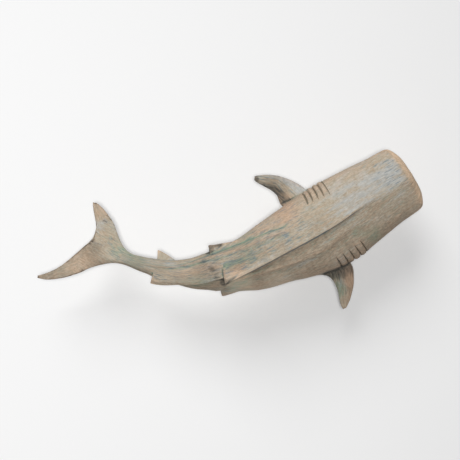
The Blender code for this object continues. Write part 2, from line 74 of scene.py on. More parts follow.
# The spine seen from the room, snout to fork, in millimetres and degrees: right of the wall flat, above
# it, half width of the body and how far the back is rolled towards the floor.
SPINE = (
    (184.0, 107.0, 44.0, 0.0),
    (141.0, 80.0, 56.0, 0.0),
    (98.0, 53.0, 61.0, 1.0),
    (54.0, 25.0, 66.0, 4.0),
    (-3.0, -5.0, 60.0, 6.0),
    (-59.0, -32.0, 48.0, 10.0),
    (-92.0, -43.0, 41.0, 14.0),
    (-130.0, -51.0, 33.0, 25.0),
    (-168.0, -55.0, 25.0, 43.0),
    (-202.0, -52.0, 18.0, 62.0),
    (-235.0, -44.0, 14.0, 75.0),
    (-268.0, -33.0, 12.0, 85.0),
    (-308.0, -10.0, 40.0, 90.0),
)
SPINE_OUT = 41.0 * MM
SPINE_STEP = 4.0 * MM
SPINE_SMOOTHING = 23
GRAIN_RADIUS = 45.0 * MM

# The blades: a name, where each leaves the body and where its tip is, right and up in millimetres.
BLADES = (
    ("left_pectoral", (-8.0, 64.0), (-36.0, 88.0), (-72.0, 95.0)),
    ("right_pectoral", (63.0, -50.0), (71.0, -82.0), (69.0, -112.0)),
    ("long_lobe", (-312.0, -22.0), (-360.0, -47.0), (-410.0, -61.0)),
    ("short_lobe", (-300.0, 8.0), (-308.0, 36.0), (-319.0, 56.0)),
)

# Where the grain of a blade takes over from the body's.
BLADE_HALF_WIDTH = 40.0 * MM
PECTORAL_END = 300.0 * MM
TAIL_START = 505.0 * MM
LOBE_START = 560.0 * MM
SEPARATE_GRAIN = 1.0

# How the solid is joined and rounded before it is carved.
JOIN_GAP = 1e-6
ROUNDING_LEVELS = 2
QUAD_BEND = math.radians(60)
QUAD_SKEW = math.radians(70)
SHARP_ANGLE = math.radians(36)
EDGE_CREASE = 0.6
WEIGHT_STEPS = 20

# Relief is measured against the surface averaged over a few millimetres, and over a wider patch.
NEAR_ROUNDS = 6
NEAR_DEPTH = 0.35 * MM
WIDE_ROUNDS = 130
WIDE_DEPTH = 1.6 * MM

# Where each wash was brushed on thicker, or the wood rubbed bare, and where light or shade is painted:
# right, up and reach in millimetres, and how strongly.
SPOT_CORE = 0.2
SPOTS = {
    "dark": (
        (-144.0, -13.0, 16.0, 2.2),
        (-128.0, -6.0, 12.0, 1.9),
        (-119.0, -69.0, 10.0, 1.1),
        # Along the ridge beside the dorsal fin's tip: partly dark wash, partly painted shade below the
        # crest.
        (-113.0, -66.0, 9.0, 0.6),
        (-107.0, -63.0, 9.0, 0.6),
        (-101.0, -60.0, 8.0, 0.5),
        # Painted shade where the dorsal fin's rear meets the body, and behind the fin.
        (-129.0, -60.0, 9.0, 0.35),
        (-137.0, -47.0, 8.0, 0.5),
        (159.0, 84.0, 12.0, 0.5),
        (147.0, 108.0, 10.0, 0.35),
        # The left pectoral fin's tip: a dark tip, partly painted shade where it turns down from the light.
        (-69.0, 94.0, 9.0, 1.0),
        # Painted shade behind the first dorsal fin.
        (-138.0, -52.0, 30.0, 0.35),
    ),
    "green": (
        (115.0, 5.0, 24.0, 0.8),
        (87.0, 9.0, 14.0, 0.6),
        (-86.0, -2.0, 20.0, 0.6),
        (63.0, -82.0, 16.0, 0.9),
        (-283.0, -16.0, 22.0, 0.6),
        (-255.0, -33.0, 26.0, 0.5),
        (-160.0, -70.0, 34.0, 0.6),
        (-95.0, -76.0, 34.0, 0.5),
    ),
    "blue": (
        (-315.0, 19.0, 18.0, 0.9),
        (-199.0, -40.0, 18.0, 0.4),
    ),
    "bare": (
        (-23.0, 40.0, 28.0, 0.6),
        (-98.0, -47.0, 26.0, 0.6),
        (-343.0, -37.0, 42.0, 0.4),
        (-395.0, -60.0, 30.0, 0.3),
        (-312.0, 44.0, 24.0, 0.5),
        (-26.0, 62.0, 18.0, 0.6),
        (80.0, -66.0, 18.0, 0.6),
    ),
    # Pale spots: paler paint on the tail and the snout, and on the lower flank paler paint together with
    # painted light where the lamps leave it dim.
    "pale": (
        (-350.0, -37.0, 40.0, 0.7),
        (-280.0, -26.0, 34.0, 0.6),
        (-93.0, -75.0, 34.0, 1.7),
        (-35.0, -70.0, 36.0, 0.9),
        (184.0, 50.0, 24.0, 0.5),
    ),
    # Brown spots take from the pale mark. They give browner wood in places, and painted shade behind the
    # first dorsal fin, on the right pelvic fin and across the left pectoral fin.
    "brown_and_painted_shade": (
        (31.0, 14.0, 30.0, 0.4),
        (-30.0, -18.0, 34.0, 0.4),
        (-400.0, -60.0, 24.0, 1.0),
        (-99.0, -47.0, 24.0, 0.5),
        (-115.0, -86.0, 14.0, 1.0),
        (-143.0, -48.0, 36.0, 1.0),
        (-72.0, -22.0, 34.0, 0.6),
        (-100.0, -30.0, 30.0, 0.4),
        (-38.0, 84.0, 34.0, 1.0),
    ),
}

# Which side of each blade leads: 1 on the left as seen running out to its tip, -1 on the right. The right
# pectoral fin is marked less strongly.
LEADING_SIDES = {"left_pectoral": -1, "right_pectoral": 1}
RIGHT_PECTORAL_STRENGTH = 0.5

# Where the marks fade, from the first value to the second: millimetres from the snout.
CROWN_STARTS = (12, 34)
CROWN_ENDS = (90, 190)
RIDGE_STARTS = (35, 75)
SNOUT_STROKES_END = (50, 85)
STREAKS_START = (80, 150)
STREAKS_END = (230, 330)
FLANK_STARTS = (150, 220)
RIM_ENDS = (2, 36)
RIM_SIDE_END = 60
CUT_STARTS = (75, 130)
CUT_ENDS = (330, 350)
LEFT_SIDE_NARROWS = (40, 100)
UNDERSIDE_STARTS = (190, 250)
TAIL_EDGES_START = (505, 540)

# The same in degrees round the body from the ridge, left positive. Ahead of the ridge the crown and the
# left side reach farther, by the second pair and by the last number.
CROWN_RIGHT = (-12, 6)
CROWN_WIDENS = (-24, 4)
CROWN_LEFT = (40, 84)
STREAKS_RIGHT = (-1, 4)
STREAKS_LEFT = (20, 40)
FLANK_RIGHT = (-2, 8)
UNDERSIDE_LEFT = (-85, -45)
LEFT_SIDE_RIGHT = (-4, 3)
LEFT_SIDE_WIDENS = 22

# The same in millimetres: below the ridge, beyond the body's edge, along a blade, across it, and off the
# wall.
CUT_TOP = (0.3, 1.5)
CUT_FOOT = (2.5, 5.0)
BESIDE_BODY = (-3, 3)
ROOT_STARTS = (-16, -8)
ROOT_ENDS = (4, 27)
BLADE_ENDS = (24, 36)
LEADING_PART = (3, 9)
TRAILING_PART = (-3, 10)
OFF_WALL = (0.5, 6)

# The same for how far a face turns to the room or to the snout's side, whose direction stands first, and
# for how far an edge stands out. Faces turned to the snout's side get the rim's painted highlight.
SNOUT_SIDE = (0.86, 0.0, 0.5)
FACES_ROOM = (-0.5, 0.0)
FACES_SNOUT_SIDE = (0.1, 0.8)
STANDS_OUT = (0.1, 0.5)

# How strong some marks are beside the others, which are at 1, and the most that the pale mark, partly
# painted light, may reach.
STREAKS_STRENGTH = 0.3
FLANK_STRENGTH = 0.8
UNDERSIDE_STRENGTH = 1.2
PALE_LIMIT = 1.8

# Patterns of the paint, stretched along the grain: length and width in millimetres, shift, detail, and
# the values of the noise that become 0 and 1. The fibres' length and width are settings.
PATTERNS = {
    "broad": (80.0, 22.0, 3.1, 2.0, (0.35, 0.65)),
    "patch": (26.0, 8.0, 7.7, 4.0, (0.38, 0.66)),
    "streak": (15.0, 3.4, 1.3, 5.0, (0.34, 0.66)),
    "stroke": (15.0, 2.4, 5.9, 5.0, (0.42, 0.66)),
    "line": (11.0, 1.9, 9.4, 4.0, (0.36, 0.64)),
    "mottle": (4.5, 3.0, 4.6, 5.0, (0.34, 0.66)),
}
FIBRE_PATTERN = (2.2, 3.0, (0.3, 0.7))
PATTERN_ROUGHNESS = 0.6

# Marks stored point by point for the paint, and pairs that only work where both are strong.
MARKS = (
    "hollows",
    "crests",
    "wide_relief",
    "crown",
    "strokes",
    "rim",
    "ridge_cut",
    "pale",
    "blue",
    "dark",
    "green",
    "bare",
)
PAIRS = {"groove": ("hollows", "strokes"), "brushed": ("strokes", "stroke"), "pink_line": ("patch", "line")}

# How thickly each layer covers: a base, and what each pattern, mark or pair adds to it.
TONE = (0.0, dict(streak=0.75, pale=0.25))
LIME = (0.22, dict(pale=0.18, broad=0.25, mottle=0.3, streak=-0.2, bare=-0.5, rim=-0.5))
GREEN = (-0.55, dict(hollows=0.3, groove=1.3, patch=0.5, stroke=0.4, mottle=0.3, green=0.7, bare=-0.5))
BLUE = (
    -1.0,
    dict(crown=0.9, blue=1.0, patch=0.65, broad=0.5, mottle=0.25, streak=0.3, bare=-0.6, rim=-0.8),
)
BARE = (-0.42, dict(crests=0.6, wide_relief=0.15, bare=0.65, mottle=0.25, patch=0.2))
RIM = (-0.55, dict(rim=1.0, patch=0.4, mottle=0.25))
# The slate layer is partly painted shade, in the band below the ridge.
SLATE = (
    -0.68,
    dict(groove=0.5, ridge_cut=0.9, brushed=0.7, stroke=0.35, line=0.15, mottle=0.15, patch=0.4),
)
# The dark layer is a dark wash, and also painted shade where the dark mark holds shade.
DARK = (-0.8, dict(hollows=0.7, dark=1.3, stroke=0.4, mottle=0.25, bare=-0.3))
SPECKLE = (0.04, dict(line=0.34, mottle=0.24, pale=0.34))
FIBRE_HEIGHT = (0.1, dict(fibre=0.3, line=0.5))

# The layers in the order they went on, over the wood: the colour's name in the settings, and its cover.
LAYERS = (
    ("lime", LIME),
    ("green", GREEN),
    ("blue", BLUE),
    ("wood_pink", BARE),
    ("rim", RIM),
    ("slate", SLATE),
    ("dark", DARK),
)
SPECKLE_RANGE = (0.6, 1.2)
ROUGHNESS_RANGE = (0.82, 0.97)
WOOD_SPECULAR = 0.25
BUMP_STRENGTH = 0.9

# The stage. A light has a name, its place from the shark's middle in metres, its width and its power.
CAMERA_RIGHT = -109.0 * MM
CAMERA_UP = 12.5 * MM
SENSOR_WIDTH = 36.0
CAMERA_SEES = 100.0
WALL_SIZE = 12.0
KEY = ("soft_key", (-3.6, -9.4, 10.8), 9.0, 1180.0)
FILL = ("soft_fill", (0.0, -3.0, 0.0), 0.4, 59.0)
SKY_STRENGTH = 0.15


def to_linear(code):
    """An sRGB hex colour as linear red, green, blue and alpha."""
    channels = [int(code[k : k + 2], 16) / 255 for k in (0, 2, 4)]
    linear = [c / 12.92 if c <= 0.04045 else ((c + 0.055) / 1.055) ** 2.4 for c in channels]
    return (*linear, 1.0)


def hue(code, name, description):
    """A colour setting with an sRGB hex code as its default."""
    return bpy.props.FloatVectorProperty(
        name=name, description=description, size=4, subtype="COLOR", min=0, max=1, default=to_linear(code)
    )


def length(millimetres, name, description):
    """A length setting with a default in millimetres."""
    return bpy.props.FloatProperty(
        name=name, description=description, default=millimetres * MM, min=0, unit="LENGTH", precision=5
    )


class CarvingSettings(bpy.types.PropertyGroup):
    """Sizes of the carving."""

    hollow_length: length(70.0, "Hollow length", "Length of the shallow hollows left by the gouge")
    hollow_width: length(15.0, "Hollow width", "Width of the shallow hollows left by the gouge")
    hollow_depth: length(0.55, "Hollow depth", "Depth of the shallow hollows left by the gouge")
    mark_length: length(38.0, "Mark length", "Length of the scraper marks along the grain")
    mark_width: length(3.4, "Mark width", "Width of the scraper marks along the grain")
    mark_depth: length(0.42, "Mark depth", "Depth of the scraper marks along the grain")
    fibre_length: length(9.0, "Fibre length", "Length of the open fibres of the wood")
    fibre_width: length(0.9, "Fibre width", "Width of the open fibres, drawn coarser than real ones")
    fibre_depth: length(0.5, "Fibre depth", "Depth of the open fibres of the wood")


class PaintSettings(bpy.types.PropertyGroup):
    """Colours of the wood and of the wash rubbed into it."""

    wood: hue("ae9880", "Bare wood", "Wood where the paint is rubbed off")
    wood_dark: hue("8e7e6b", "Dark wood", "Darker streaks of the wood")
    wood_pink: hue("b99c84", "Light wood", "Light, slightly pink streaks of the wood")
    # The rim colour is also a painted highlight on the snout's faces turned to the right and up.
    rim: hue("d9bd9f", "Bare rim", "Bright wood where the wash is rubbed off round the snout")
    lime: hue("aca595", "Lime wash", "Pale grey wash over the whole body")
    green: hue("84937f", "Green wash", "Green wash left in the grooves")
    blue: hue("acaca8", "Blue wash", "Blue-grey wash on top of the head and along the leading edges")
    # The slate colour is also painted shade in the band below the ridge on its right side.
    slate: hue("6b757b", "Slate wash", "Blue-grey strokes beside the ridge and behind the snout")
    # The dark colour is also painted shade behind the first dorsal fin, at the pectoral fins and below the
    # ridge beside the dorsal fin.
    dark: hue("4b4842", "Dark wash", "Dark wash in the deepest cuts and on the fin tips")


class StageSettings(bpy.types.PropertyGroup):
    """The wall, the light and the camera."""

    wall_gap: length(48.0, "Wall gap", "Distance from the flat on the belly to the backdrop")
    camera_distance: length(2000.0, "Camera distance", "Distance from the camera to the shark's middle")
    picture_width: length(716.7, "Picture width", "Width of what the camera sees at the shark")
    # The two wall colours paint shade: the wall is darker to the right, where the light falls off away from
    # the left.
    wall_left: hue("f0f0f0", "Wall, left", "Backdrop at the left edge of the picture")
    wall_right: hue("e2e2e2", "Wall, right", "Backdrop at the right edge of the picture")


def put(tree, kind, settings=None, values=None, links=None):
    """Adds one node, with its settings, the values of its sockets and what feeds them."""
    node = tree.nodes.new(kind)
    for name, value in (settings or {}).items():
        setattr(node, name, value)
    for socket, value in (values or {}).items():
        node.inputs[socket].default_value = value
    for socket, source in (links or {}).items():
        tree.links.new(source, node.inputs[socket])
    return node


# The body's own coordinates.


def spine_line():
    """Points close together along the spine: right, up, half width, roll and distance from the snout."""
    table = np.array(SPINE, float)
    table[:, :3] *= MM
    table[:, 3] = np.radians(table[:, 3])
    along = np.concatenate([[0], np.cumsum(np.linalg.norm(np.diff(table[:, :2], axis=0), axis=1))])
    at = np.linspace(0, along[-1], int(along[-1] / SPINE_STEP))
    line = np.stack([np.interp(at, along, column) for column in table.T], 1)
    kernel = np.hanning(SPINE_SMOOTHING)[1:-1]
    kernel /= kernel.sum()
    reach = len(kernel) // 2
    before = line[:1] * 2 - line[reach:0:-1]
    after = line[-1:] * 2 - line[-2 : -reach - 2 : -1]
    padded = np.concatenate([before, line, after])
    smooth = np.stack([np.convolve(column, kernel, "valid") for column in padded.T], 1)
    return smooth, at


class BodyPlace:
    """Where points lie on the body: distance from the snout and angle from the ridge, left positive."""

    def __init__(self, points):
        line, at = spine_line()
        seen = points[:, [0, 2]]
        gaps = np.linalg.norm(seen[:, None, :] - line[None, :, :2], axis=2)
        near = np.clip(gaps.argmin(1), 1, len(line) - 2)
        run = line[near + 1, :2] - line[near - 1, :2]
        run /= np.linalg.norm(run, axis=1)[:, None]
        offset = seen - line[near, :2]
        self.along = at[near] + (offset * run).sum(1)
        self.across = offset[:, 0] * run[:, 1] - offset[:, 1] * run[:, 0]
        self.out = -points[:, 1] - SPINE_OUT
        self.half_width = line[near, 2]
        roll = line[near, 3]
        left = np.cos(roll) * self.across + np.sin(roll) * self.out
        back = np.cos(roll) * self.out - np.sin(roll) * self.across
        self.angle = np.arctan2(left, back)
        self.beyond = np.abs(self.across) - self.half_width


def blade_places(points):
    """For each blade: how far along it and how far across it points lie."""
    seen = points[:, [0, 2]]
    places = {}
    for name, *corners in BLADES:
        corners = np.array(corners) * MM
        lengths = np.linalg.norm(np.diff(corners, axis=0), axis=1)
        start = np.concatenate([[0], np.cumsum(lengths)])
        best = None
        for k in range(len(corners) - 1):
            run = (corners[k + 1] - corners[k]) / lengths[k]
            offset = seen - corners[k]
            along = offset @ run
            across = offset[:, 1] * run[0] - offset[:, 0] * run[1]
            last = k == len(lengths) - 1
            held = np.clip(along, 0 if k else -np.inf, np.inf if last else lengths[k])
            gap = np.hypot(along - held, across)
            place = np.stack([gap, start[k] + along, across], 1)
            best = place if best is None else np.where(place[:, :1] < best[:, :1], place, best)
        places[name] = (best[:, 1], best[:, 2])
    return places


def soft_step(low, high, values):
    """Rises smoothly from 0 at the low value to 1 at the high one."""
    t = np.clip((values - low) / (high - low), 0, 1)
    return t * t * (3 - 2 * t)


# The mesh.


def points_of(mesh):
    """The places of a mesh's points, one row for each."""
    points = np.empty(len(mesh.vertices) * 3)
    mesh.vertices.foreach_get("co", points)
    return points.reshape(-1, 3)


def normals_of(mesh):
    """The way each point of a mesh faces, one row for each."""
    normals = np.empty(len(mesh.vertices) * 3)
    mesh.vertices.foreach_get("normal", normals)
    return normals.reshape(-1, 3)


def only(item):
    """Selects one object alone and makes it the active one."""
    bpy.ops.object.select_all(action="DESELECT")
    item.select_set(True)
    bpy.context.view_layer.objects.active = item


def copy_of_node(node, name):
    """A copy of one solid of the frame, without its material."""
    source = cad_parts[node]
    piece = bpy.data.objects.new(name, source.data.copy())
    bpy.context.scene.collection.objects.link(piece)
    piece.data.name = name
    piece.data.materials.clear()
    return piece


def smooth_solid(piece):
    """Joins the loose triangles, keeps the carved edges crisp and rounds the rest."""
    only(piece)
    bpy.ops.object.mode_set(mode="EDIT")
    bpy.ops.mesh.select_all(action="SELECT")
    bpy.ops.mesh.remove_doubles(threshold=JOIN_GAP)
    bpy.ops.mesh.tris_convert_to_quads(face_threshold=QUAD_BEND, shape_threshold=QUAD_SKEW)
    bpy.ops.mesh.select_all(action="DESELECT")
    bpy.ops.mesh.edges_select_sharp(sharpness=SHARP_ANGLE)
    bpy.ops.transform.edge_crease(value=EDGE_CREASE)
    bpy.ops.mesh.select_all(action="DESELECT")
    bpy.ops.object.mode_set(mode="OBJECT")
    surface = piece.modifiers.new("rounded", "SUBSURF")
    surface.levels = surface.render_levels = ROUNDING_LEVELS
    bpy.ops.object.modifier_apply(modifier=surface.name)


def lay_grain(piece):
    """A UV map in metres that runs with the grain: along the body or a blade, and round it."""
    mesh = piece.data
    points = points_of(mesh)
    body = BodyPlace(points)
    spread = (GRAIN_RADIUS + body.half_width) / 2
    runs = [np.stack([body.along, body.angle * spread], 1)]
    runs.append(np.stack([body.along, body.across + SEPARATE_GRAIN / 2], 1))
    blades = blade_places(points)
    for along, across in blades.values():
        runs.append(np.stack([along, across + SEPARATE_GRAIN * len(runs)], 1))
    region = (body.along > TAIL_START).astype(int)
    for k, name in enumerate(blades, start=2):
        along, across = blades[name]
        inside = (along > 0) & (np.abs(across) < BLADE_HALF_WIDTH)
        off_body = body.beyond > 0 if "pectoral" in name else body.along > LOBE_START
        region[inside & off_body] = k
    corners = np.empty(len(mesh.loops), int)
    mesh.loops.foreach_get("vertex_index", corners)
    starts = np.empty(len(mesh.polygons), int)
    mesh.polygons.foreach_get("loop_start", starts)
    totals = np.empty(len(mesh.polygons), int)
    mesh.polygons.foreach_get("loop_total", totals)
    of_face = region[corners[starts]]
    of_corner = np.repeat(of_face, totals)
    grain = np.stack(runs)[of_corner, corners]
    # The grain closes under the belly: a face that crosses that line takes its corners from one side.
    first = np.repeat(grain[starts, 1], totals)
    turn = 2 * np.pi * spread[corners]
    wrap = np.round((first - grain[:, 1]) / turn) * (of_corner == 0)
    grain[:, 1] += wrap * turn
    layer = mesh.uv_layers.new(name="grain")
    layer.data.foreach_set("uv", grain.ravel())
    return grain


def carve(piece, grain, name, long, wide, deep):
    """Displaces the open wood by one soft pattern, stretched along the grain."""
    mesh = piece.data
    layer = mesh.uv_layers.new(name=name)
    layer.data.foreach_set("uv", (grain / (long, wide)).ravel())
    texture = bpy.data.textures.new(name, "CLOUDS")
    texture.noise_scale = 1.0
    texture.noise_depth = 1
    texture.noise_basis = "IMPROVED_PERLIN"
    only(piece)
    carving = piece.modifiers.new(name, "DISPLACE")
    carving.texture = texture
    carving.texture_coords = "UV"
    carving.uv_layer = name
    carving.mid_level = 0.5
    carving.strength = deep
    carving.vertex_group = "open_wood"
    bpy.ops.object.modifier_apply(modifier=carving.name)
    mesh.uv_layers.remove(mesh.uv_layers[name])


def weigh(piece, name, weights):
    """Adds a vertex group with one weight for each point."""
    group = piece.vertex_groups.new(name=name)
    steps = np.round(weights * WEIGHT_STEPS).astype(int)
    for step in range(1, WEIGHT_STEPS + 1):
        chosen = np.nonzero(steps == step)[0].tolist()
        if chosen:
            group.add(chosen, step / WEIGHT_STEPS, "REPLACE")


def relief(mesh, rounds):
    """How far each point stands out of the surface around it, in metres. Hollows are negative."""
    points = points_of(mesh)
    ends = np.empty(len(mesh.edges) * 2, int)
    mesh.edges.foreach_get("vertices", ends)
    first, second = ends.reshape(-1, 2).T
    count = len(points)
    ties = np.bincount(first, minlength=count) + np.bincount(second, minlength=count)
    soft = points.copy()
    for _ in range(rounds):
        total = np.empty_like(soft)
        for axis in range(3):
            total[:, axis] = np.bincount(first, soft[second, axis], count)
            total[:, axis] += np.bincount(second, soft[first, axis], count)
        soft = total / ties[:, None]
    return ((points - soft) * normals_of(mesh)).sum(1)


def store(mesh, name, values):
    """Keeps one value for each point under a name that the material reads."""
    layer = mesh.attributes.new(name, "FLOAT", "POINT")
    layer.data.foreach_set("value", np.asarray(values, np.float32))


def near_to(points, right, up, reach, strength):
    """A spot as seen from the room: its strength in the middle, fading to 0 at its reach."""
    gap = np.hypot(points[:, 0] - right * MM, points[:, 2] - up * MM)
    return strength * (1 - soft_step(SPOT_CORE * reach * MM, reach * MM, gap))


def mark_paint(piece):
    """Stores, point by point, how deep each place lies, which wash was brushed on it and where light or
    shade is painted.
    """
    mesh = piece.data
    points = points_of(mesh)
    normals = normals_of(mesh)
    body = BodyPlace(points)
    blades = blade_places(points)
    near = relief(mesh, NEAR_ROUNDS) / NEAR_DEPTH
    wide = relief(mesh, WIDE_ROUNDS) / WIDE_DEPTH
    store(mesh, "hollows", np.clip(-near, 0, 1))
    store(mesh, "crests", np.clip(near, 0, 1))
    store(mesh, "wide_relief", np.clip(wide, -1, 1))
    degrees = np.degrees(body.angle)
    along = body.along / MM
    to_room = soft_step(*FACES_ROOM, -normals[:, 1])
    spots = {}
    for name, places in SPOTS.items():
        spots[name] = to_room * sum(near_to(points, *spot) for spot in places)

    ahead = 1 - soft_step(*RIDGE_STARTS, along)
    low = CROWN_RIGHT[0] + CROWN_WIDENS[0] * ahead
    high = CROWN_RIGHT[1] + CROWN_WIDENS[1] * ahead
    crown = soft_step(*CROWN_STARTS, along) * (1 - soft_step(*CROWN_ENDS, along))
    crown *= soft_step(low, high, degrees) * (1 - soft_step(*CROWN_LEFT, degrees))
    streaked = soft_step(*STREAKS_START, along) * (1 - soft_step(*STREAKS_END, along))
    streaked *= soft_step(*STREAKS_RIGHT, degrees) * (1 - soft_step(*STREAKS_LEFT, degrees))
    store(mesh, "crown", np.clip(crown + STREAKS_STRENGTH * streaked, 0, 1))
    at_snout = crown * (1 - soft_step(*SNOUT_STROKES_END, along))
    flank = soft_step(*FLANK_STARTS, along) * soft_step(*FLANK_RIGHT, degrees)
    store(mesh, "strokes", np.maximum(at_snout, FLANK_STRENGTH * flank))

    # The rim mark is bare wood round the snout, and a painted highlight on the faces near the snout turned
    # to the right and up.
    side = (along < RIM_SIDE_END) * soft_step(*FACES_SNOUT_SIDE, normals @ SNOUT_SIDE)
    store(mesh, "rim", np.maximum(1 - soft_step(*RIM_ENDS, along), side))
    # A band just below the ridge on its right side: a slate wash and painted shade under the ridge's crest.
    below = -body.angle * (GRAIN_RADIUS + body.half_width) / 2 / MM
    cut = soft_step(*CUT_TOP, below) * (1 - soft_step(*CUT_FOOT, below))
    store(mesh, "ridge_cut", cut * soft_step(*CUT_STARTS, along) * (1 - soft_step(*CUT_ENDS, along)))

    # The pale mark is partly painted light. The left side, turned to the key light, is painted lighter. The
    # underside is painted paler, partly as paler paint and partly as painted light where the lamps leave it
    # dim. Pale spots add to the mark and brown spots take from it.
    low = LEFT_SIDE_RIGHT[0] - LEFT_SIDE_WIDENS * (1 - soft_step(*LEFT_SIDE_NARROWS, along))
    lit_left_side = soft_step(low, LEFT_SIDE_RIGHT[1], degrees)
    underside = soft_step(*UNDERSIDE_STARTS, along) * (1 - soft_step(*UNDERSIDE_LEFT, degrees))
    pale = lit_left_side + UNDERSIDE_STRENGTH * underside + spots["pale"] - spots["brown_and_painted_shade"]
    store(mesh, "pale", np.clip(pale, 0, PALE_LIMIT))

    parts = {}
    for name, side in LEADING_SIDES.items():
        run, across = (place / MM for place in blades[name])
        there = (body.along < PECTORAL_END) * soft_step(*ROOT_STARTS, run) * to_room
        there *= soft_step(*BESIDE_BODY, body.beyond / MM) * (1 - soft_step(*BLADE_ENDS, np.abs(across)))
        parts[name, "root"] = there * (1 - soft_step(*ROOT_ENDS, run))
        parts[name, "leading"] = there * soft_step(*LEADING_PART, side * across)
        parts[name, "trailing"] = there * soft_step(*TRAILING_PART, -side * across)
    tail_edges = to_room * soft_step(*TAIL_EDGES_START, along) * soft_step(*STANDS_OUT, near)
    # The dark mark also holds painted shade. On the left pectoral fin's trailing side it is partly a wash
    # and partly shade where the fin turns from the light. On the right pectoral fin's root it is shade
    # where the body overhangs the fin.
    dark = spots["dark"] + tail_edges
    dark += parts["left_pectoral", "trailing"] + parts["right_pectoral", "root"]
    green = spots["green"] + RIGHT_PECTORAL_STRENGTH * parts["right_pectoral", "trailing"]
    bare = spots["bare"] + RIGHT_PECTORAL_STRENGTH * parts["right_pectoral", "leading"]
    store(mesh, "blue", np.clip(spots["blue"] + parts["left_pectoral", "leading"], 0, 1))
    store(mesh, "dark", np.clip(dark, 0, 1))
    store(mesh, "green", np.clip(green, 0, 1))
    store(mesh, "bare", np.clip(bare, 0, 1))


# The paint.


def grain_pattern(tree, grain, long, wide, shift, detail, span):
    """Noise stretched along the grain: its length and width in metres, its contrast from span."""
    mapping = put(
        tree,
        "ShaderNodeMapping",
        values={"Location": (shift, shift, 0), "Scale": (1 / long, 1 / wide, 1)},
        links={"Vector": grain},
    )
    noise = put(
        tree,
        "ShaderNodeTexNoise",
        settings={"noise_dimensions": "2D"},
        values={"Scale": 1.0, "Detail": detail, "Roughness": PATTERN_ROUGHNESS},
        links={"Vector": mapping.outputs["Vector"]},
    )
    stretched = put(
        tree,
        "ShaderNodeMapRange",
        values={"From Min": span[0], "From Max": span[1]},
        links={"Value": noise.outputs["Fac"]},
    )
    return stretched.outputs["Result"]


def blend_colours(tree, factor, under, over):
    """Lays one colour over another by a factor. Each is a socket or a fixed colour."""
    node = put(tree, "ShaderNodeMix", settings={"data_type": "RGBA"}, links={0: factor})
    for socket, colour in ((6, under), (7, over)):
        if isinstance(colour, bpy.types.NodeSocket):
            tree.links.new(colour, node.inputs[socket])
        else:
            node.inputs[socket].default_value = colour
    return node.outputs[2]


def sum_of(tree, sockets, base, weights):
    """A clamped sum of a base and of named sockets, each with its own weight."""
    total = None
    for name, weight in weights.items():
        total = put(
            tree,
            "ShaderNodeMath",
            settings={"operation": "MULTIPLY_ADD"},
            values={1: weight} | ({} if total else {2: base}),
            links={0: sockets[name]} | ({2: total.outputs[0]} if total else {}),
        )
    total.use_clamp = True
    return total.outputs[0]


def rubbed_wood(paint, carving):
    """Close-grained carved hardwood under rubbed casein washes: quite matt, the colour lies in streaks
    along the grain, green and blue stay in the cuts, and bare tan wood shows on crests and edges.
    Painted light and shade are mixed in. The pale mark lightens the lit left side and the underside, the
    slate and dark colours also lay painted shade, and the rim colour is also a painted highlight."""
    material = bpy.data.materials.new("carved_hardwood_with_rubbed_wash")
    material.use_nodes = True
    tree = material.node_tree
    shader = tree.nodes["Principled BSDF"]
    grain = put(tree, "ShaderNodeUVMap", settings={"uv_map": "grain"}).outputs["UV"]
    sockets = {}
    for name in MARKS:
        mark = put(tree, "ShaderNodeAttribute", settings={"attribute_name": name})
        sockets[name] = mark.outputs["Fac"]
    for name, (long, wide, *look) in PATTERNS.items():
        sockets[name] = grain_pattern(tree, grain, long * MM, wide * MM, *look)
    fibre_sizes = (carving.fibre_length, carving.fibre_width)
    sockets["fibre"] = grain_pattern(tree, grain, *fibre_sizes, *FIBRE_PATTERN)
    for name, (first, second) in PAIRS.items():
        both = {0: sockets[first], 1: sockets[second]}
        pair = put(tree, "ShaderNodeMath", settings={"operation": "MULTIPLY"}, links=both)
        sockets[name] = pair.outputs[0]

    tone = sum_of(tree, sockets, *TONE)
    colour = blend_colours(tree, tone, tuple(paint.wood_dark), tuple(paint.wood))
    colour = blend_colours(tree, sockets["pink_line"], colour, tuple(paint.wood_pink))
    for name, cover in LAYERS:
        colour = blend_colours(tree, sum_of(tree, sockets, *cover), colour, tuple(getattr(paint, name)))
    worn = put(
        tree,
        "ShaderNodeMapRange",
        values={"To Min": SPECKLE_RANGE[0], "To Max": SPECKLE_RANGE[1]},
        links={"Value": sum_of(tree, sockets, *SPECKLE)},
    ).outputs["Result"]
    fine = put(
        tree,
        "ShaderNodeMix",
        settings={"data_type": "RGBA", "blend_type": "MULTIPLY"},
        values={0: 1.0},
        links={6: colour, 7: worn},
    )
    tree.links.new(fine.outputs[2], shader.inputs["Base Color"])

    rough = put(
        tree,
        "ShaderNodeMapRange",
        values={"To Min": ROUGHNESS_RANGE[0], "To Max": ROUGHNESS_RANGE[1]},
        links={"Value": sockets["streak"]},
    )
    tree.links.new(rough.outputs["Result"], shader.inputs["Roughness"])
    shader.inputs["Specular IOR Level"].default_value = WOOD_SPECULAR
    bump = put(
        tree,
        "ShaderNodeBump",
        values={"Strength": BUMP_STRENGTH, "Distance": carving.fibre_depth},
        links={"Height": sum_of(tree, sockets, *FIBRE_HEIGHT)},
    )
    tree.links.new(bump.outputs["Normal"], shader.inputs["Normal"])
    return material


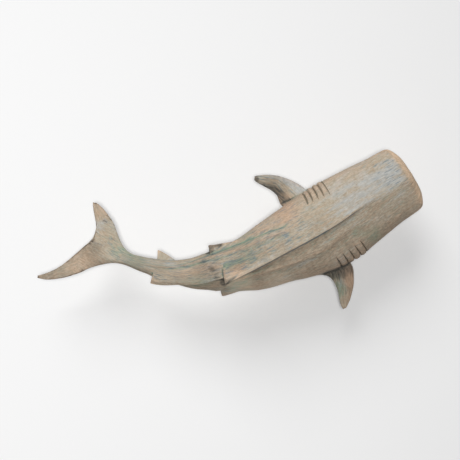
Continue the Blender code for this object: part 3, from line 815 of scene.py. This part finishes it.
class OBJECT_OT_carve_shark(bpy.types.Operator):
    """Smooths the solid, carves it along the grain and paints it"""

    bl_idname = "object.carve_shark"
    bl_label = "Carve the shark"

    def execute(self, context):
        carving = context.scene.shark_carving
        shark = copy_of_node(NODE, "carved_shark")
        smooth_solid(shark)
        grain = lay_grain(shark)
        off_wall = soft_step(*OFF_WALL, -points_of(shark.data)[:, 1] / MM)
        cut = np.clip(1 + relief(shark.data, NEAR_ROUNDS) / NEAR_DEPTH, 0, 1)
        weigh(shark, "open_wood", off_wall * cut)
        for name, long, wide, deep in (
            ("gouge_hollows", carving.hollow_length, carving.hollow_width, carving.hollow_depth),
            ("scraper_marks", carving.mark_length, carving.mark_width, carving.mark_depth),
        ):
            carve(shark, grain, name, long, wide, deep)
        shark.vertex_groups.clear()
        low, high = np.array(CAD_BOUNDS)
        shark.data.vertices.foreach_set("co", np.clip(points_of(shark.data), low, high).ravel())
        shark.data.update()
        mark_paint(shark)
        shark.data.materials.append(rubbed_wood(context.scene.shark_paint, carving))
        only(shark)
        bpy.ops.object.shade_smooth_by_angle(angle=SHARP_ANGLE)
        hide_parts(NODE)
        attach(shark, "root")
        return {"FINISHED"}


# The stage.


def wall_with_painted_falloff(stage):
    """Smooth matt wall paint, coloured darker to the right as painted shade where the light falls off away
    from the left. Seen from behind it lets the view through.
    """
    material = bpy.data.materials.new("matt_wall_paint")
    material.use_nodes = True
    tree = material.node_tree
    shader = tree.nodes["Principled BSDF"]
    place = put(tree, "ShaderNodeTexCoord").outputs["Object"]
    across = put(tree, "ShaderNodeSeparateXYZ", links={"Vector": place}).outputs["X"]
    half = stage.picture_width / 2
    share = put(
        tree,
        "ShaderNodeMapRange",
        values={"From Min": CAMERA_RIGHT - half, "From Max": CAMERA_RIGHT + half},
        links={"Value": across},
    ).outputs["Result"]
    colour = blend_colours(tree, share, tuple(stage.wall_left), tuple(stage.wall_right))
    tree.links.new(colour, shader.inputs["Base Color"])
    shader.inputs["Roughness"].default_value = 1.0
    shader.inputs["Specular IOR Level"].default_value = 0.0
    behind = put(tree, "ShaderNodeNewGeometry").outputs["Backfacing"]
    clear = put(tree, "ShaderNodeBsdfTransparent")
    either = put(
        tree,
        "ShaderNodeMixShader",
        links={0: behind, 1: shader.outputs["BSDF"], 2: clear.outputs["BSDF"]},
    )
    tree.links.new(either.outputs["Shader"], tree.nodes["Material Output"].inputs["Surface"])
    return material


class OBJECT_OT_set_stage(bpy.types.Operator):
    """Sets up the backdrop, the light and the camera"""

    bl_idname = "object.set_stage"
    bl_label = "Set the stage"

    def execute(self, context):
        stage = context.scene.shark_stage
        scene = context.scene
        bpy.ops.object.select_all(action="DESELECT")
        bpy.ops.mesh.primitive_plane_add(
            size=WALL_SIZE, location=(0, stage.wall_gap, 0), rotation=(math.radians(90), 0, 0)
        )
        wall = context.object
        wall.name = "backdrop"
        bpy.ops.object.transform_apply(location=True, rotation=True)
        wall.data.materials.append(wall_with_painted_falloff(stage))

        middle = Vector(((CAD_BOUNDS[0][0] + CAD_BOUNDS[1][0]) / 2, -SPINE_OUT, 0))
        for name, offset, size, power in (KEY, FILL):
            bpy.ops.object.light_add(type="AREA", location=middle + Vector(offset))
            light = context.object
            light.name = name
            light.data.shape = "DISK"
            light.data.size = size
            light.data.energy = power
            light.rotation_euler = Vector(-c for c in offset).to_track_quat("-Z", "Y").to_euler()

        world = bpy.data.worlds.new("studio")
        world.use_nodes = True
        sky = world.node_tree.nodes["Background"]
        sky.inputs["Color"].default_value = (1.0, 1.0, 1.0, 1.0)
        sky.inputs["Strength"].default_value = SKY_STRENGTH
        scene.world = world
        scene.view_settings.view_transform = "Standard"

        eye = (CAMERA_RIGHT, -SPINE_OUT - stage.camera_distance, CAMERA_UP)
        bpy.ops.object.camera_add(location=eye, rotation=(math.radians(90), 0, 0))
        camera = context.object
        camera.data.sensor_width = SENSOR_WIDTH
        camera.data.lens = SENSOR_WIDTH * stage.camera_distance / stage.picture_width
        camera.data.clip_end = CAMERA_SEES
        scene.camera = camera
        return {"FINISHED"}


class VIEW3D_PT_carved_shark(bpy.types.Panel):
    """Sizes, colours and steps of the carved shark"""

    bl_label = "Carved shark"
    bl_idname = "VIEW3D_PT_carved_shark"
    bl_space_type = "VIEW_3D"
    bl_region_type = "UI"
    bl_category = "Carved shark"

    def draw(self, context):
        scene = context.scene
        for settings in (scene.shark_carving, scene.shark_paint, scene.shark_stage):
            box = self.layout.box()
            for name in type(settings).__annotations__:
                box.prop(settings, name)
        self.layout.operator(OBJECT_OT_carve_shark.bl_idname)
        self.layout.operator(OBJECT_OT_set_stage.bl_idname)


CLASSES = (
    CarvingSettings,
    PaintSettings,
    StageSettings,
    OBJECT_OT_carve_shark,
    OBJECT_OT_set_stage,
    VIEW3D_PT_carved_shark,
)


def register():
    for item in CLASSES:
        bpy.utils.register_class(item)
    bpy.types.Scene.shark_carving = bpy.props.PointerProperty(type=CarvingSettings)
    bpy.types.Scene.shark_paint = bpy.props.PointerProperty(type=PaintSettings)
    bpy.types.Scene.shark_stage = bpy.props.PointerProperty(type=StageSettings)


def unregister():
    del bpy.types.Scene.shark_carving
    del bpy.types.Scene.shark_paint
    del bpy.types.Scene.shark_stage
    for item in reversed(CLASSES):
        bpy.utils.unregister_class(item)


def main():
    register()
    bpy.ops.object.carve_shark()
    bpy.ops.object.set_stage()


if __name__ == "__main__":
    main()
